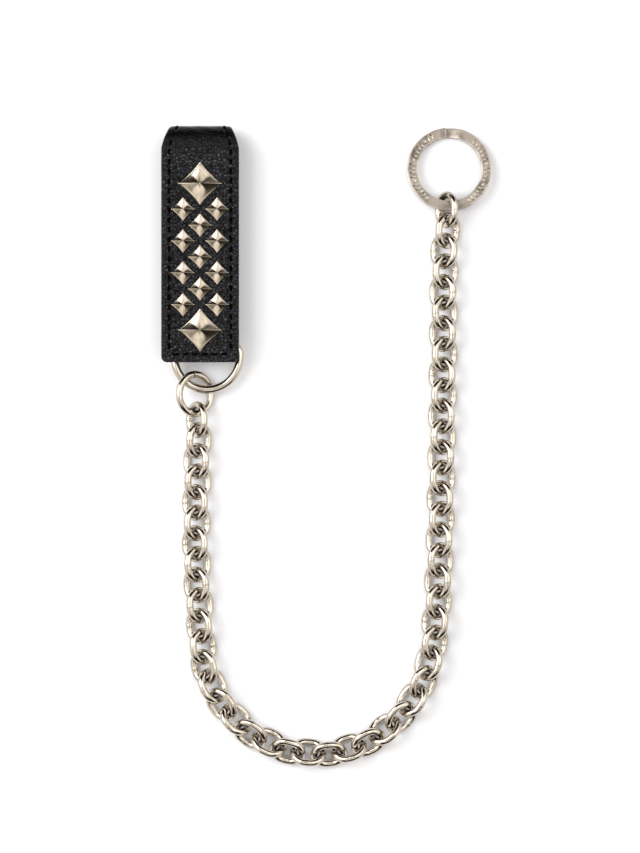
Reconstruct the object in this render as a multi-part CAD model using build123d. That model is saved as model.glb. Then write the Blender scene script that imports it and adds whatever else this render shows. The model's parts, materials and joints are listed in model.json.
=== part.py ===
from build123d import *
from math import asin, cos, degrees, radians, sin, sqrt
import os

# A wallet chain, lying on its back: a studded leather belt loop with a snap, a D-ring, a jump ring,
# fifty cable links laid out in a U, and a flat split key ring.
# Millimetres, +Z up. The origin is the middle of the belt loop's back face, +X runs across the loop,
# and +Y runs along it from the D-ring towards the fold.

# ---- belt loop: one strap, folded over at +Y, its front flap coming down over the D-ring's bar ----
LOOP_LENGTH = 91.6
LOOP_HEIGHT = 12.6
FLAP_WIDTH = 30.0
FLAP_CORNER = 2.2
STRAP_WIDTH = 24.2
LEATHER = 1.8
LINING = 1.2
FOLD_REACH = 9.4
FOLD_END = LOOP_LENGTH / 2
FOLD_START = FOLD_END - FOLD_REACH
FOLD_MID = LOOP_HEIGHT / 2
FLAP_END = -LOOP_LENGTH / 2
STRAP = LEATHER + LINING
FLAP_UNDERSIDE = LOOP_HEIGHT - STRAP

# ---- keeper: the strap's narrow end, wrapped round the D-ring's bar and sewn down on the strap ----
BAR_Y = -39.9
BAR_Z = 5.0
WRAP_RADIUS = 2.0
KEEPER_WIDTH = 16.0
KEEPER_TAPER_START = -31.0
KEEPER_TAPER_END = -37.0
TAB_SLOPE = 40.0
TAB_END = -28.0

# ---- D-ring and jump ring ----
D_WIRE = 3.2
D_RADIUS = 12.6
D_CENTRE = (2.5, -43.7)
D_CORNER = 2.4
JUMP_WIRE = 2.8
JUMP_RADIUS = 7.65
JUMP_CENTRE = (-2.05, -58.0)
JUMP_LEAN = 38.0
JUMP_SEAM_AT = 98.5
JUMP_SEAM = 1.0

# ---- chain: identical oval links, leaning left and right in turn along a U-shaped route ----
LINK_COUNT = 50
PITCH = 8.0
LINK_WIRE = 2.8
LINK_LENGTH = 14.4
LINK_WIDTH = 12.8
LINK_LEAN = 41.0
END_LINK_LEAN = 54.0
NEXT_TO_END_LEAN = 46.0
LINK_OFFSET = 0.45
CHAIN_ROUTE = [
    (-1.0, -64.0),
    (-1.2, -82.0),
    (-1.8, -108.5),
    (-1.2, -132.0),
    (0.1, -151.0),
    (2.6, -167.5),
    (9.9, -180.3),
    (21.7, -191.2),
    (35.9, -196.8),
    (51.7, -197.2),
    (66.1, -192.3),
    (78.4, -182.1),
    (87.0, -168.3),
    (90.8, -152.0),
    (92.2, -134.0),
    (93.1, -107.0),
    (93.8, -68.0),
    (94.3, -29.4),
    (94.7, -4.3),
    (95.6, 8.0),
    (97.0, 18.5),
]

# ---- split key ring: flat wire, two turns, joined by a short ramp from the upper turn to the lower ----
RING_RADIUS = 14.42
RING_BAND = 3.75
RING_TURN = 1.1
RING_GAP = 0.1
RING_NEAR_HEIGHT = 5.32
RING_BEHIND_JOINT = 2.45
RING_SIDE_STEP = -0.3
RAMP_ANGLE = 28.0
RAMP_AT = 95.0
RING_THICKNESS = 2 * RING_TURN + RING_GAP

# ---- studs: four-cornered pyramids with hollow sides, each on a post through the front leather ----
LARGE_STUD = 8.4
LARGE_STUD_HEIGHT = 4.0
SMALL_STUD = 4.6
SMALL_STUD_HEIGHT = 2.2
STUD_RIM = 0.4
STUD_HOLLOW = 0.64
STUD_TIP = 0.03
POST_RADIUS = 0.9
POST_HOLE = 1.0
LARGE_STUD_Y = (23.2, -33.4)
STUD_COLUMN = 6.6
STUD_ROW = 12.3
PAIR_ROW_Y = 13.3
SINGLE_ROW_Y = 7.1
PAIR_ROWS = 4
SINGLE_ROWS = 3

# ---- snap: the socket hangs under the flap, the post stands on the back strap ----
SNAP_Y = -21.0
SNAP_BASE_RADIUS = 5.2
SNAP_BASE_TOP = 4.2
SNAP_NECK_RADIUS = 2.1
SNAP_HEAD_RADIUS = 2.6
SNAP_HEAD_BOTTOM = 5.6
SNAP_HEAD_TOP = 7.2
SNAP_BACK_FLANGE = 0.8
SNAP_RIVET = 1.6
SOCKET_RADIUS = 5.9
SOCKET_BOTTOM = 4.5
SOCKET_BORE = 2.95
SOCKET_BORE_TOP = 7.8
FIT_GAP = 0.1

# ---- stitching ----
STITCH_INSET = 3.1
STITCH_LENGTH = 3.0
STITCH_PITCH = 3.75
STITCH_WIDTH = 0.7
STITCH_PROUD = 0.35


def prism(profile_edges, width):
    """The solid that a closed outline in the YZ plane sweeps out across X, centred on X = 0."""
    face = make_face(Wire(profile_edges).edges())
    return extrude(face, width / 2, dir=(1, 0, 0), both=True)


def yz(y, z):
    return Vector(0, y, z)


def about(y, z, radius, angle):
    """The point at an angle from +Y on a circle round (y, z)."""
    return yz(y + radius * cos(radians(angle)), z + radius * sin(radians(angle)))


def fold_point(depth, angle):
    """A point of the fold, depth under the loop's outside, at an angle from +Y on its half ellipse."""
    reach, rise = FOLD_REACH - depth, FOLD_MID - depth
    return yz(FOLD_START + reach * cos(radians(angle)), FOLD_MID + rise * sin(radians(angle)))


def fold_arc(depth, side):
    """A quarter of the fold's ellipse, from its end in the middle plane to the flat, side +1 up or -1 down."""
    points = [fold_point(depth, side * angle) for angle in range(0, 91, 15)]
    return Spline(*points, tangents=[(0, 0, side), (0, -1, 0)])


def layer(top_depth, bottom_depth):
    """The flap's half of the loop between two depths under the outside: flat, then up to the fold's end."""
    top, bottom = LOOP_HEIGHT - top_depth, LOOP_HEIGHT - bottom_depth
    edges = [
        fold_arc(top_depth, 1),
        Line(yz(FOLD_START, top), yz(FLAP_END, top)),
        Line(yz(FLAP_END, top), yz(FLAP_END, bottom)),
        Line(yz(FLAP_END, bottom), yz(FOLD_START, bottom)),
        fold_arc(bottom_depth, 1),
        Line(fold_point(bottom_depth, 0), fold_point(top_depth, 0)),
    ]
    return prism(edges, FLAP_WIDTH) & flap_outline()


def flap_outline():
    """The flap seen from the front, as a tall block: square with round corners, narrowing over the fold."""
    half, end = FLAP_WIDTH / 2, STRAP_WIDTH / 2
    corners = [(-half, FLAP_END), (half, FLAP_END), (half, FOLD_START), (end, FOLD_END), (-end, FOLD_END)]
    outline = Polygon(*corners, (-half, FOLD_START), align=None)
    low = outline.vertices().sort_by(Axis.Y)[:2]
    return extrude(fillet(low, FLAP_CORNER), LOOP_HEIGHT + 1, dir=(0, 0, 1))


def stud_places():
    """(x, y, size, height) of every stud: one large at each end, small ones in pairs and singly between."""
    large = [(0.0, y, LARGE_STUD, LARGE_STUD_HEIGHT) for y in LARGE_STUD_Y]
    pairs = [(side * STUD_COLUMN, PAIR_ROW_Y - row * STUD_ROW) for row in range(PAIR_ROWS) for side in (-1, 1)]
    singles = [(0.0, SINGLE_ROW_Y - row * STUD_ROW) for row in range(SINGLE_ROWS)]
    return large + [(x, y, SMALL_STUD, SMALL_STUD_HEIGHT) for x, y in pairs + singles]


def stud(x, y, size, height):
    """A pyramid on a star of four corners with hollow sides, over a low rim, and its post."""
    reach = [size, size * STUD_HOLLOW] * 4
    star = [(r * cos(radians(45 * i)), r * sin(radians(45 * i))) for i, r in enumerate(reach)]
    tip = [(STUD_TIP * u, STUD_TIP * v) for u, v in star]
    rim = extrude(Polygon(*star, align=None), STUD_RIM)
    foot = Pos(Z=STUD_RIM) * Polygon(*star, align=None)
    top = Pos(Z=height) * Polygon(*tip, align=None)
    body = rim + loft([foot, top], ruled=True)
    depth = LEATHER - FIT_GAP
    post = Pos(Z=STUD_RIM / 2 - depth / 2) * Cylinder(POST_RADIUS, depth + STUD_RIM)
    return Pos(x, y, LOOP_HEIGHT) * (body + post)


def front_flap():
    """The flap's outer leather, with a hole for each stud's post."""
    holes = [
        Pos(x, y, LOOP_HEIGHT - LEATHER / 2) * Cylinder(POST_HOLE, 2 * LEATHER) for x, y, _, _ in stud_places()
    ]
    return layer(0, LEATHER) - holes


def flap_lining():
    """The flap's lining, with a pocket and a hole for the snap socket's rivet."""
    pocket_depth = SNAP_BACK_FLANGE + FIT_GAP
    pocket = Pos(0, SNAP_Y, LOOP_HEIGHT - LEATHER - pocket_depth / 2)
    hole = Pos(0, SNAP_Y, FLAP_UNDERSIDE + LINING / 2)
    pocket_solid = pocket * Cylinder(SNAP_BASE_RADIUS + FIT_GAP, pocket_depth)
    return layer(LEATHER, STRAP) - pocket_solid - hole * Cylinder(SNAP_RIVET + FIT_GAP, 2 * LINING)


def back_strap():
    """The back of the loop, with its keeper, and a stepped hole for the snap post's rivet."""
    base_edges = [
        fold_arc(0, -1),
        Line(yz(FOLD_START, 0), yz(BAR_Y, 0)),
        Line(yz(BAR_Y, 0), yz(BAR_Y, STRAP)),
        Line(yz(BAR_Y, STRAP), yz(FOLD_START, STRAP)),
        fold_arc(STRAP, -1),
        Line(fold_point(STRAP, 0), fold_point(0, 0)),
    ]
    half, end = STRAP_WIDTH / 2, KEEPER_WIDTH / 2
    side = [(half, FOLD_END), (half, KEEPER_TAPER_START), (end, KEEPER_TAPER_END), (end, BAR_Y)]
    outline = Polygon(*side, *[(-x, y) for x, y in reversed(side)], align=None)
    base = prism(base_edges, STRAP_WIDTH) & extrude(outline, LOOP_HEIGHT, dir=(0, 0, 1))
    flange = Pos(0, SNAP_Y, SNAP_BACK_FLANGE / 2) * Cylinder(SNAP_BASE_RADIUS + FIT_GAP, SNAP_BACK_FLANGE + FIT_GAP)
    hole = Pos(0, SNAP_Y, STRAP / 2) * Cylinder(SNAP_RIVET + FIT_GAP, 2 * STRAP)
    return base + keeper() - flange - hole


def keeper():
    """The strap's end: round the bar from below, then down a slope onto the strap, where it is sewn."""
    wrap_top = BAR_Z + WRAP_RADIUS + LEATHER
    outer = WRAP_RADIUS + LEATHER
    turn = 90 - TAB_SLOPE
    inner_end, outer_end = about(BAR_Y, BAR_Z, WRAP_RADIUS, turn), about(BAR_Y, BAR_Z, outer, turn)
    fall = sin(radians(TAB_SLOPE)) / cos(radians(TAB_SLOPE))
    inner_foot = yz(inner_end.Y + (inner_end.Z - STRAP) / fall, STRAP)
    outer_foot = yz(outer_end.Y + (outer_end.Z - STRAP - LEATHER) / fall, STRAP + LEATHER)
    edges = [
        ThreePointArc(yz(BAR_Y, 0), yz(BAR_Y - wrap_top / 2, wrap_top / 2), yz(BAR_Y, wrap_top)),
        ThreePointArc(yz(BAR_Y, wrap_top), about(BAR_Y, BAR_Z, outer, (90 + turn) / 2), outer_end),
        Line(outer_end, outer_foot),
        Line(outer_foot, yz(TAB_END, STRAP + LEATHER)),
        Line(yz(TAB_END, STRAP + LEATHER), yz(TAB_END, STRAP)),
        Line(yz(TAB_END, STRAP), inner_foot),
        Line(inner_foot, inner_end),
        ThreePointArc(inner_end, about(BAR_Y, BAR_Z, WRAP_RADIUS, 180), about(BAR_Y, BAR_Z, WRAP_RADIUS, 270)),
        Line(yz(BAR_Y, STRAP), yz(BAR_Y, 0)),
    ]
    return prism(edges, KEEPER_WIDTH)


def snap_post():
    """The snap's male half: a flange in the strap's back, a rivet through it, a base and a headed stud."""
    flange = Pos(Z=SNAP_BACK_FLANGE / 2) * Cylinder(SNAP_BASE_RADIUS, SNAP_BACK_FLANGE)
    rivet = Pos(Z=STRAP / 2) * Cylinder(SNAP_RIVET, STRAP)
    base = Pos(Z=(STRAP + SNAP_BASE_TOP) / 2) * Cylinder(SNAP_BASE_RADIUS, SNAP_BASE_TOP - STRAP)
    neck = Pos(Z=(SNAP_BASE_TOP + SNAP_HEAD_BOTTOM) / 2)
    neck_solid = neck * Cylinder(SNAP_NECK_RADIUS, SNAP_HEAD_BOTTOM - SNAP_BASE_TOP)
    head = Pos(Z=(SNAP_HEAD_BOTTOM + SNAP_HEAD_TOP) / 2)
    head_solid = head * Cylinder(SNAP_HEAD_RADIUS, SNAP_HEAD_TOP - SNAP_HEAD_BOTTOM)
    head_solid = fillet(head_solid.edges().filter_by(GeomType.CIRCLE), 0.5)
    return Pos(Y=SNAP_Y) * (flange + rivet + base + neck_solid + head_solid)


def snap_socket():
    """The snap's female half: a flange behind the lining, a rivet through it and a cup that opens downwards."""
    flange_z = LOOP_HEIGHT - LEATHER - SNAP_BACK_FLANGE / 2
    flange = Pos(Z=flange_z) * Cylinder(SNAP_BASE_RADIUS, SNAP_BACK_FLANGE)
    rivet = Pos(Z=FLAP_UNDERSIDE + LINING / 2 - FIT_GAP) * Cylinder(SNAP_RIVET, LINING)
    cup = Pos(Z=(SOCKET_BOTTOM + FLAP_UNDERSIDE) / 2) * Cylinder(SOCKET_RADIUS, FLAP_UNDERSIDE - SOCKET_BOTTOM)
    cup = chamfer(cup.edges().filter_by(GeomType.CIRCLE).group_by(Axis.Z)[0], 1.0)
    bore = Pos(Z=(SOCKET_BOTTOM + SOCKET_BORE_TOP) / 2) * Cylinder(SOCKET_BORE, SOCKET_BORE_TOP - SOCKET_BOTTOM)
    return Pos(Y=SNAP_Y) * (cup - bore + rivet + flange)


def stitching():
    """Single stitches lying on the flap: up both sides, on over the fold, and across the lower end."""
    side_path = Wire([Line(yz(FLAP_END + STITCH_INSET, LOOP_HEIGHT), yz(FOLD_START, LOOP_HEIGHT)), fold_arc(0, 1)])
    stitch = Box(STITCH_WIDTH, STITCH_LENGTH, STITCH_PROUD)
    made = []
    for i in range(int((side_path.length - STITCH_LENGTH) / STITCH_PITCH) + 1):
        distance = (i + 0.5) * STITCH_PITCH
        if distance > side_path.length - STITCH_LENGTH:
            break
        share = distance / side_path.length
        at, along = side_path @ share, side_path % share
        narrowing = max(at.Y - FOLD_START, 0) * (FLAP_WIDTH - STRAP_WIDTH) / 2 / FOLD_REACH
        normal = Vector(1, 0, 0).cross(along)
        lift = STITCH_PROUD / 2 + bulge(at)
        for side in (-1, 1):
            x = side * (FLAP_WIDTH / 2 - STITCH_INSET - narrowing)
            plane = Plane(Vector(x, at.Y, at.Z) + normal * lift, x_dir=(1, 0, 0), z_dir=normal)
            made.append(plane * stitch)
    across = FLAP_WIDTH / 2 - STITCH_INSET
    count = int(2 * across / STITCH_PITCH)
    for i in range(count):
        x = (i - (count - 1) / 2) * STITCH_PITCH
        made.append(Pos(x, FLAP_END + STITCH_INSET, LOOP_HEIGHT + STITCH_PROUD / 2) * Rot(Z=90) * stitch)
    return Compound(children=made)


def bulge(at):
    """How far the fold's curve stands above the middle of a straight stitch laid on it."""
    return 0.0 if at.Y < FOLD_START + STITCH_LENGTH / 2 else STITCH_LENGTH**2 / 8 / FOLD_MID


def rod(edges, wire):
    """A round wire of that diameter along a closed line of tangent edges."""
    path = Wire(edges)
    section = Plane(path @ 0, z_dir=path % 0) * Circle(wire / 2)
    return sweep(section, path=path)


def d_ring():
    """A half circle, two short sides, two round corners and the straight bar that the keeper holds."""
    x, y = D_CENTRE
    bend = D_CORNER * (1 - sqrt(0.5))
    left, right = x - D_RADIUS, x + D_RADIUS
    edges = [
        ThreePointArc((left, y), (x, y - D_RADIUS), (right, y)),
        Line((right, y), (right, BAR_Y - D_CORNER)),
        ThreePointArc((right, BAR_Y - D_CORNER), (right - bend, BAR_Y - bend), (right - D_CORNER, BAR_Y)),
        Line((right - D_CORNER, BAR_Y), (left + D_CORNER, BAR_Y)),
        ThreePointArc((left + D_CORNER, BAR_Y), (left + bend, BAR_Y - bend), (left, BAR_Y - D_CORNER)),
        Line((left, BAR_Y - D_CORNER), (left, y)),
    ]
    return Pos(Z=BAR_Z) * rod(edges, D_WIRE)


def jump_ring():
    """A round ring of wire with a narrow closing seam, leaning with its left side up on the D-ring."""
    section = Plane.XZ * Pos(JUMP_RADIUS, 0) * Circle(JUMP_WIRE / 2)
    ring = Rot(Z=JUMP_SEAM_AT) * revolve(section, Axis.Z, 360 - JUMP_SEAM)
    height = JUMP_RADIUS * sin(radians(JUMP_LEAN)) + JUMP_WIRE / 2
    return Pos(*JUMP_CENTRE, height) * Rot(Y=JUMP_LEAN) * ring


def link():
    """One oval link lying flat along X: two half circles joined by short straights."""
    half_width = (LINK_WIDTH - LINK_WIRE) / 2
    straight = (LINK_LENGTH - LINK_WIRE) / 2 - half_width
    end = straight + half_width
    edges = [
        Line((-straight, -half_width), (straight, -half_width)),
        ThreePointArc((straight, -half_width), (end, 0), (straight, half_width)),
        Line((straight, half_width), (-straight, half_width)),
        ThreePointArc((-straight, half_width), (-end, 0), (-straight, -half_width)),
    ]
    return rod(edges, LINK_WIRE)


def chain_joints():
    """The points where the links meet, one pitch apart along the route, first at the jump ring."""
    route = Spline(*CHAIN_ROUTE)
    return [route @ (i * PITCH / route.length) for i in range(LINK_COUNT + 1)]


def lean_of(number):
    """How steeply a link leans: the ones next to the rings stand up most."""
    from_end = min(number - 1, LINK_COUNT - number)
    return {0: END_LINK_LEAN, 1: NEXT_TO_END_LEAN}.get(from_end, LINK_LEAN)


def link_place(number, joints):
    """A link's place between its two joints. Odd links lean left side up, even ones right side up."""
    start, end = joints[number - 1], joints[number]
    side = 1 if number % 2 else -1
    lean = lean_of(number)
    height = (LINK_WIDTH - LINK_WIRE) / 2 * sin(radians(lean)) + LINK_WIRE / 2
    heading = Vector(1, 0, 0).get_signed_angle(end - start, Vector(0, 0, 1))
    return Pos((start + end) / 2) * Rot(Z=heading) * Pos(0, -side * LINK_OFFSET, height) * Rot(X=side * lean)


def ring_pivot(joints):
    """The middle of the key ring's band where the last link holds it."""
    last = joints[LINK_COUNT]
    return Vector(last.X + RING_SIDE_STEP, last.Y - RING_BEHIND_JOINT, RING_NEAR_HEIGHT)


def key_ring(joints):
    """Two flat turns, one over the other, open over the ramp, which runs down from one to the other."""
    sector = radians(RAMP_ANGLE)
    outer, inner = RING_RADIUS + RING_BAND / 2, RING_RADIUS - RING_BAND / 2
    step = RING_TURN + RING_GAP
    band = Circle(outer) - Circle(inner)
    wedge = Polygon(
        (0, 0),
        (2 * outer, 0),
        (2 * outer * cos(sector / 2), 2 * outer * sin(sector / 2)),
        (2 * outer * cos(sector), 2 * outer * sin(sector)),
        align=None,
    )
    upper = Pos(Z=RING_GAP / 2) * extrude(band - wedge, RING_TURN)
    lower = Pos(Z=RING_GAP / 2 - step) * extrude(band - wedge, RING_TURN)
    run = RING_RADIUS * sector
    slope = degrees(asin(step / run))
    slab = Rot(Z=RAMP_ANGLE / 2) * Pos(X=RING_RADIUS) * Rot(X=-slope) * Box(2 * RING_BAND, 2 * run, RING_TURN)
    ramp = extrude(band & wedge, RING_THICKNESS / 2, both=True) & slab
    coil = Rot(Z=RAMP_AT - RAMP_ANGLE) * (upper + lower + ramp)
    tilt = degrees(asin((RING_NEAR_HEIGHT - RING_THICKNESS / 2) / (RING_RADIUS + outer)))
    return Pos(ring_pivot(joints)) * Rot(X=-tilt) * Pos(Y=RING_RADIUS) * coil


def all_parts():
    joints = chain_joints()
    parts = {
        "back_strap": back_strap(),
        "snap_post": snap_post(),
        "front_flap": front_flap(),
        "flap_lining": flap_lining(),
        "flap_stitching": stitching(),
        "pyramid_studs": Compound(children=[stud(*place) for place in stud_places()]),
        "snap_socket": snap_socket(),
        "d_ring": d_ring(),
        "jump_ring": jump_ring(),
        "key_ring": key_ring(joints),
    }
    oval = link()
    for number in range(1, LINK_COUNT + 1):
        parts[f"link_{number:02d}"] = link_place(number, joints) * oval
    return parts


os.makedirs("parts", exist_ok=True)
for name, shape in all_parts().items():
    export_step(shape, f"parts/{name}.step")
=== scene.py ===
import json

import bmesh
import bpy
import numpy as np
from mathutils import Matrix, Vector


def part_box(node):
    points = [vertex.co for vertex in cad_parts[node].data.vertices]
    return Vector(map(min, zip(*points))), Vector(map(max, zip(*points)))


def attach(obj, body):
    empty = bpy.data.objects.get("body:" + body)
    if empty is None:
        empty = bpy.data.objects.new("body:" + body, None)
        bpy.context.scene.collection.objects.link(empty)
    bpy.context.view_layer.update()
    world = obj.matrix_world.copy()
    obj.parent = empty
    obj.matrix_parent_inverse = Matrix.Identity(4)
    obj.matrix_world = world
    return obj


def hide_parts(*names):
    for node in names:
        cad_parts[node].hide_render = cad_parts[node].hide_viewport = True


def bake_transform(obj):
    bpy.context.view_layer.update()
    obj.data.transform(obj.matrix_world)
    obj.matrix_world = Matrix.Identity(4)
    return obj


# A wallet chain lying on its back. Shapes are worked out in millimetres and stored in metres.
MM = 0.001

# ---- belt loop ----
LOOP_HEIGHT = 12.6
FLAP_END = -45.8
FOLD_START = 36.4
FOLD_REACH = 9.4
FOLD_MID = 6.3
FOLD_LENGTH = 25
FLAP_HALF = 15.0
STRAP_HALF = 12.1
STRAP_THICK = 3.0
OUTER_LEATHER = 1.8
FLAP_CORNER = 2.2
EDGE_ROUND = 0.8
STITCH_INSET = 3.1
STITCH_PITCH = 3.75
STITCH_LENGTH = 2.5
THREAD_RADIUS = 0.5
# from and to, measured along the strap's outside from the flap's lower end
FLAP_STITCHES = (6.2, 105.0)
BACK_STITCHES = (107.5, 172.0)
BACK_SUNK = 0.33
TAB_STITCH_ROWS = (-29.6, -32.2)
TAB_UNDER_ROW = -33.6
TAB_STITCH_PITCH = 3.3
STRAP_STEP = 0.36

# ---- keeper ----
BAR_Y = -39.9
BAR_Z = 5.0
WRAP_RADIUS = 2.0
KEEPER_HALF = 8.0
KEEPER_THICK = 1.8
TAB_END = -28.0
TAB_SLOPE = 40.0
TAPER = (-37.0, -31.0)

# ---- rings and links ----
D_WIRE = 3.2
D_RADIUS = 12.6
D_CENTRE = (2.5, -43.7)
D_CORNER = 2.4
BAR_SEAM_X = 11.0
JUMP_WIRE = 2.8
JUMP_RADIUS = 7.65
JUMP_CENTRE = (-2.05, -58.0)
JUMP_LEAN = 38.0
JUMP_SEAM_AT = 98.5
JUMP_SEAM = 3.8
LINK_COUNT = 50
LINK_WIRE = 2.8
LINK_HALF_WIDTH = 5.0
LINK_HALF_STRAIGHT = 0.8
LINK_LEANS = {0: 54.0, 1: 46.0}
LINK_LEAN = 41.0
LINK_OFFSET = 0.45
LINK_SIDES = 22
RING_RADIUS = 14.42
RING_BAND = 3.75
RING_TURN = 1.1
RING_GAP = 0.1
RING_TILT = 7.8
RING_EASE = 0.22
MARK_STEP = 1.7
MARK_DEPTH = 0.09
MARKED_ARCS = ((112, 238), (296, 415))
RAMP = (67.0, 95.0)

# ---- studs and snap ----
LARGE_STUD = (8.5, 3.7)
SMALL_STUD = (4.7, 2.1)
STUD_RIM = 0.42
STUD_SUNK = 0.18
STUD_CURVE = 0.87
LARGE_STUD_Y = (23.2, -33.4)
STUD_COLUMN = 6.6
STUD_ROW = 12.3
PAIR_ROW_Y = 13.3
SINGLE_ROW_Y = 7.1
SNAP_Y = -21.0

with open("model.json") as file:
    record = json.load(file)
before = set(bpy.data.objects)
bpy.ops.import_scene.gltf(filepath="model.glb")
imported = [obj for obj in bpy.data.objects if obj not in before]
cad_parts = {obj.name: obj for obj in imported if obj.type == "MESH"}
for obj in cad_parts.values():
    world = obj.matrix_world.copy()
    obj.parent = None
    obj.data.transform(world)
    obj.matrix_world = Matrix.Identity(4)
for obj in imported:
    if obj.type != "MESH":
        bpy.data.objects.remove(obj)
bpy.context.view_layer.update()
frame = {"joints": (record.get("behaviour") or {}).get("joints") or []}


# ---------------------------------------------------------------- numbers and shapes


def hex_linear(code):
    """sRGB hex to linear red, green, blue and full alpha."""
    value = np.array([int(code[i : i + 2], 16) for i in (0, 2, 4)]) / 255
    linear = np.where(value <= 0.04045, value / 12.92, ((value + 0.055) / 1.055) ** 2.4)
    return (*linear, 1.0)


def turn(axis, angle):
    """The 3 x 3 matrix that turns by an angle in degrees about x, y or z."""
    c, s = np.cos(np.radians(angle)), np.sin(np.radians(angle))
    rows = {
        "x": [[1, 0, 0], [0, c, -s], [0, s, c]],
        "y": [[c, 0, s], [0, 1, 0], [-s, 0, c]],
        "z": [[c, -s, 0], [s, c, 0], [0, 0, 1]],
    }
    return np.array(rows[axis])


def smooth(low, high, value):
    """0 below low, 1 above high, and 3t^2 - 2t^3 between."""
    t = np.clip((value - low) / (high - low), 0, 1)
    return t * t * (3 - 2 * t)


def hump(value, width):
    """exp(-(value / width)^2)"""
    return np.exp(-((value / width) ** 2))


def arc(centre, radius, start, end, count):
    """Points on a circle from one angle in degrees towards another, the last one left out."""
    angle = np.radians(np.linspace(start, end, count, endpoint=False))
    return np.stack([centre[0] + radius * np.cos(angle), centre[1] + radius * np.sin(angle)], 1)


def run(start, end, count):
    """Points on a straight line from one point towards another, the last one left out."""
    t = np.linspace(0, 1, count, endpoint=False)[:, None]
    return np.array(start) * (1 - t) + np.array(end) * t


def distances(points):
    """How far along an open path each point is."""
    steps = np.linalg.norm(points[1:] - points[:-1], axis=1)
    return np.concatenate([[0], np.cumsum(steps)])


def round_wire(path, radius, closed, sides):
    """A round wire along a flat path: path + radius * (cos a * side + sin a * up), up being +Z.
    The radius may differ from point to point."""
    if closed:
        tangent = np.roll(path, -1, 0) - np.roll(path, 1, 0)
    else:
        tangent = np.gradient(path, axis=0)
    tangent = tangent / np.linalg.norm(tangent, axis=1)[:, None]
    side = np.stack([tangent[:, 1], -tangent[:, 0], np.zeros(len(path))], 1)
    angle = np.linspace(0, 2 * np.pi, sides, endpoint=False)
    radius = np.broadcast_to(np.asarray(radius, float).reshape(-1, 1), (len(path), sides))
    centre = np.concatenate([path, np.zeros((len(path), 1))], 1)[:, None, :]
    outward = np.cos(angle)[None, :, None] * side[:, None, :]
    upward = np.sin(angle)[None, :, None] * np.array([0, 0, 1.0])
    return centre + radius[:, :, None] * (outward + upward)


def lathe(profile, sides):
    """(r, z) points turned round the Z axis: (r cos a, r sin a, z)."""
    profile = np.array(profile, float)
    angle = np.linspace(0, 2 * np.pi, sides, endpoint=False)
    r, z = profile[:, 0][:, None], profile[:, 1][:, None]
    return np.stack([r * np.cos(angle), r * np.sin(angle), np.broadcast_to(z, (len(profile), sides))], 2)


# ---------------------------------------------------------------- meshes


def sheet_faces(rows, columns, wrap_rows, first):
    """Vertex numbers of the squares of a grid, and each corner's row and column before any wrapping."""
    i = np.arange(rows if wrap_rows else rows - 1)
    i, j = [a.ravel() for a in np.meshgrid(i, np.arange(columns), indexing="ij")]
    row = np.stack([i, i + 1, i + 1, i], 1)
    column = np.stack([j, j, j + 1, j + 1], 1)
    return first + (row % rows) * columns + column % columns, row, column


def piece(name, sheets, material, wrap_rows=False, attributes=None, grain=(1, 1)):
    """One object from grids of points in millimetres. Each grid's rows are closed loops, its squares are
    faces, and its first and last rows meet or get a cap each. Its UV is the row and column times the
    grain's two steps in millimetres."""
    points, quads, uvs, ends, first = [], [], [], [], 0
    for grid in sheets:
        rows, columns = grid.shape[:2]
        faces, row, column = sheet_faces(rows, columns, wrap_rows, first)
        quads.append(faces)
        uvs.append(np.stack([row * grain[0], column * grain[1]], 2).reshape(-1, 2))
        if not wrap_rows:
            ends += [first + np.arange(columns), first + (rows - 1) * columns + np.arange(columns)]
        points.append(grid.reshape(-1, 3))
        first += rows * columns
    points, quads = np.concatenate(points) * MM, np.concatenate(quads)
    loops = np.concatenate([quads.ravel(), *ends])
    totals = np.concatenate([np.full(len(quads), 4), [len(end) for end in ends]]).astype(np.int32)
    starts = np.concatenate([[0], np.cumsum(totals)[:-1]]).astype(np.int32)
    mesh = bpy.data.meshes.new(name)
    mesh.vertices.add(len(points))
    mesh.vertices.foreach_set("co", points.astype(np.float32).ravel())
    mesh.loops.add(len(loops))
    mesh.loops.foreach_set("vertex_index", loops.astype(np.int32))
    mesh.polygons.add(len(totals))
    mesh.polygons.foreach_set("loop_start", starts)
    mesh.polygons.foreach_set("loop_total", totals)
    mesh.polygons.foreach_set("use_smooth", np.arange(len(totals)) < len(quads))
    layer = mesh.uv_layers.new(name="surface")
    uv = np.zeros((len(loops), 2), np.float32)
    uv[: quads.size] = np.concatenate(uvs)
    layer.data.foreach_set("uv", uv.ravel())
    for key, values in (attributes or {}).items():
        flat = np.concatenate([np.asarray(v, float).ravel() for v in values]).astype(np.float32)
        mesh.attributes.new(key, "FLOAT", "POINT").data.foreach_set("value", flat)
    mesh.update(calc_edges=True)
    mesh.validate()
    outwards(mesh)
    mesh.materials.append(material)
    obj = bpy.data.objects.new(name, mesh)
    bpy.context.scene.collection.objects.link(obj)
    return obj


def outwards(mesh):
    """Every closed shell's faces point out of it."""
    work = bmesh.new()
    work.from_mesh(mesh)
    bmesh.ops.recalc_face_normals(work, faces=work.faces)
    work.to_mesh(mesh)
    work.free()


# ---------------------------------------------------------------- materials


def node(tree, kind, links=None, **settings):
    """Adds a node, sets its properties and unlinked inputs, and links the inputs that are named."""
    made = tree.nodes.new(kind)
    for key, value in settings.items():
        if hasattr(made, key):
            setattr(made, key, value)
        else:
            made.inputs[key.replace("_", " ")].default_value = value
    for key, source in (links or {}).items():
        tree.links.new(source, made.inputs[key])
    return made


def material(name, **shader):
    """A material whose shader has these constants, and its node tree."""
    made = bpy.data.materials.new(name)
    made.use_nodes = True
    body = made.node_tree.nodes["Principled BSDF"]
    for key, value in shader.items():
        body.inputs[key.replace("_", " ")].default_value = value
    return made, made.node_tree, body


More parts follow.
